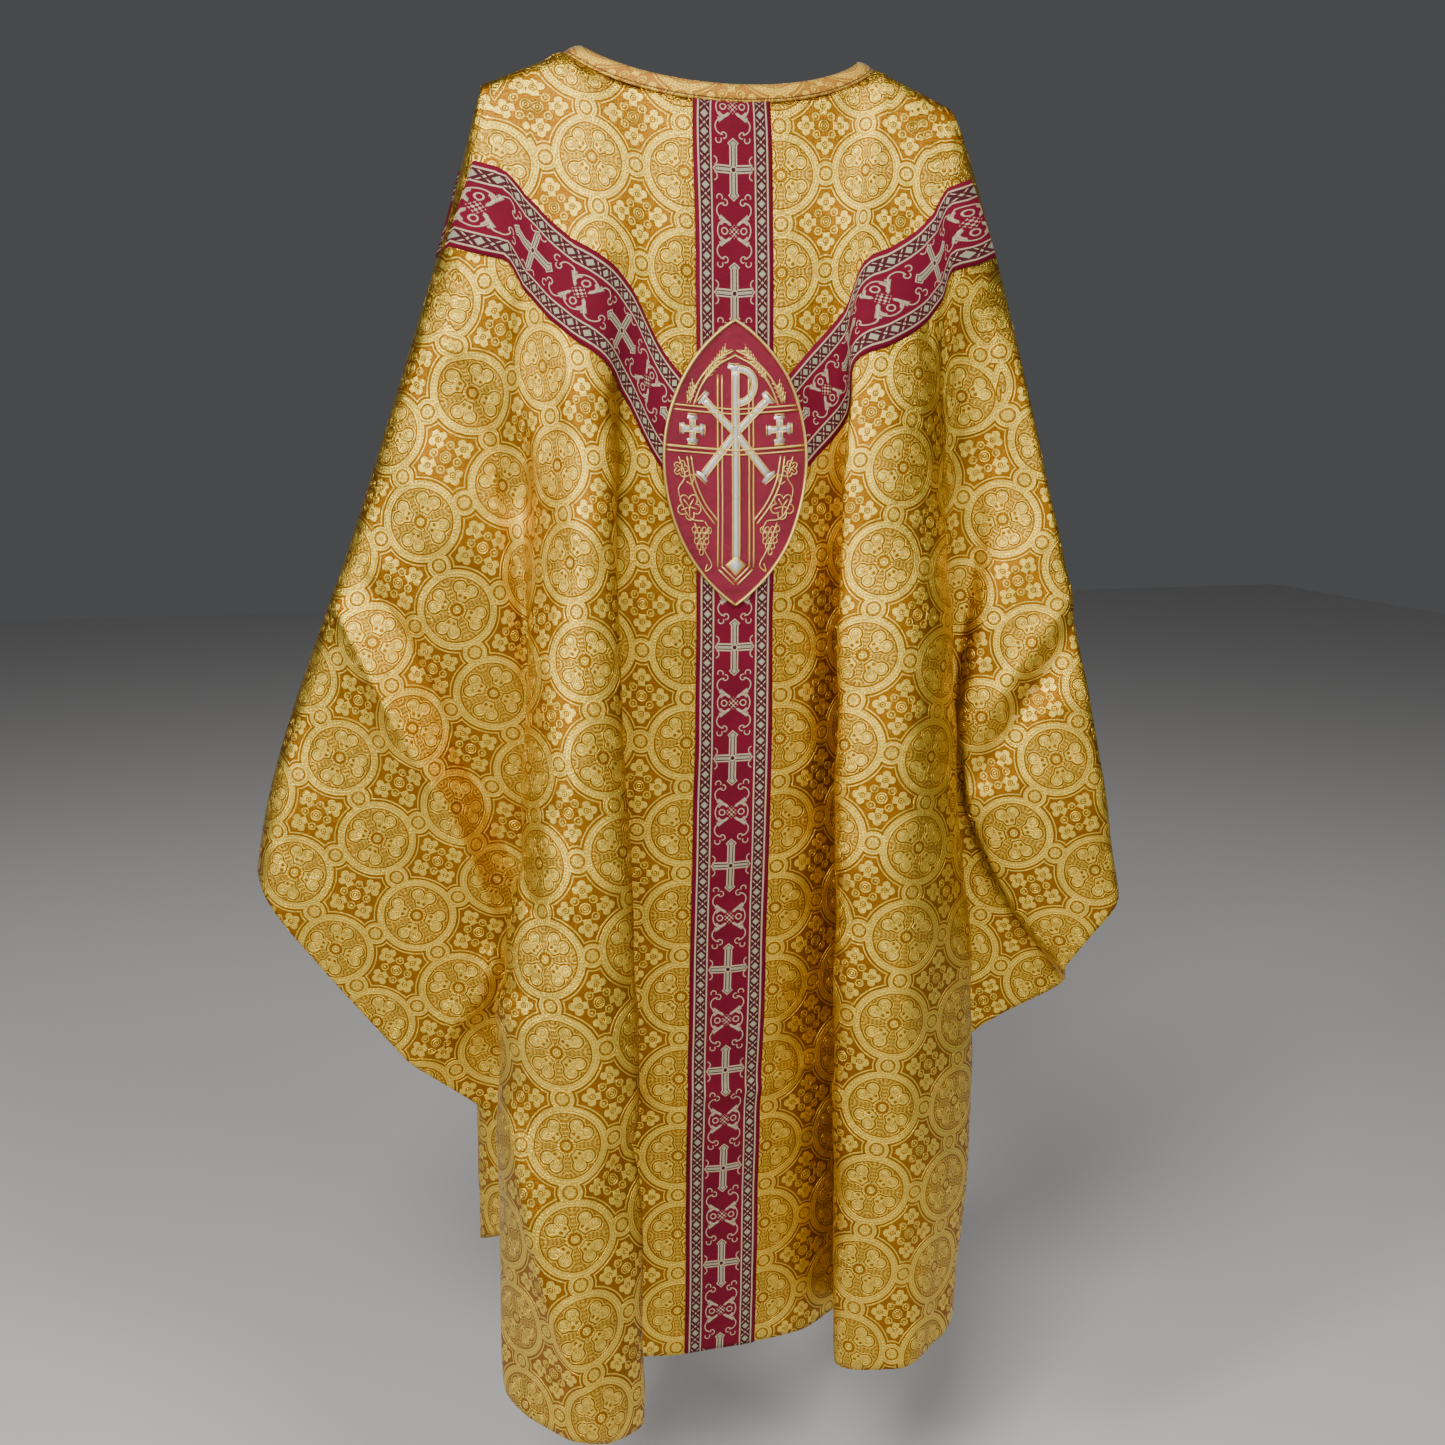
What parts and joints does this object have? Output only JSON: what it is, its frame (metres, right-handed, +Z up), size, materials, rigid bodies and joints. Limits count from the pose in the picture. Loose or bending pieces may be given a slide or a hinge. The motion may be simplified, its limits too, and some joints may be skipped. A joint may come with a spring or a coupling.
{
  "type": "chasuble",
  "caption": "Lined brocade chasuble hanging open from the shoulders, with a Y-shaped galloon band front and back and an almond-shaped embroidered emblem on the back.",
  "frame": {"origin": "midway between the two shoulder points of a hanger or stand, level with the neck points of the garment", "axes": "+Z up, +X across the shoulders, +Y from the back of the garment to the front; the back, with the emblem, faces -Y"},
  "size_m": [0.8294, 0.3506, 1.2511],
  "materials": {
    "gold_brocade": "woven silk brocade, gold figure on tan ground",
    "gold_satin_lining": "plain satin",
    "gold_binding": "folded brocade strip, topstitched",
    "maroon_galloon": "woven band, matt",
    "crimson_satin": "satin with embroidery",
    "gold_cord": "twisted metallic cord",
    "silver_thread": "laid metallic thread"
  },
  "bodies": {
    "root": {"back_panel": "gold_brocade", "front_panel": "gold_brocade", "back_lining": "gold_satin_lining", "front_lining": "gold_satin_lining", "neck_binding": "gold_binding", "back_pillar_galloon": "maroon_galloon", "back_arm_galloon_left": "maroon_galloon", "back_arm_galloon_right": "maroon_galloon", "front_pillar_galloon": "maroon_galloon", "front_arm_galloon_left": "maroon_galloon", "front_arm_galloon_right": "maroon_galloon", "emblem_ground": "crimson_satin", "emblem_cord": "gold_cord", "emblem_monogram": "silver_thread", "emblem_cross_left": "silver_thread", "emblem_cross_right": "silver_thread"}
  },
  "joints": []
}
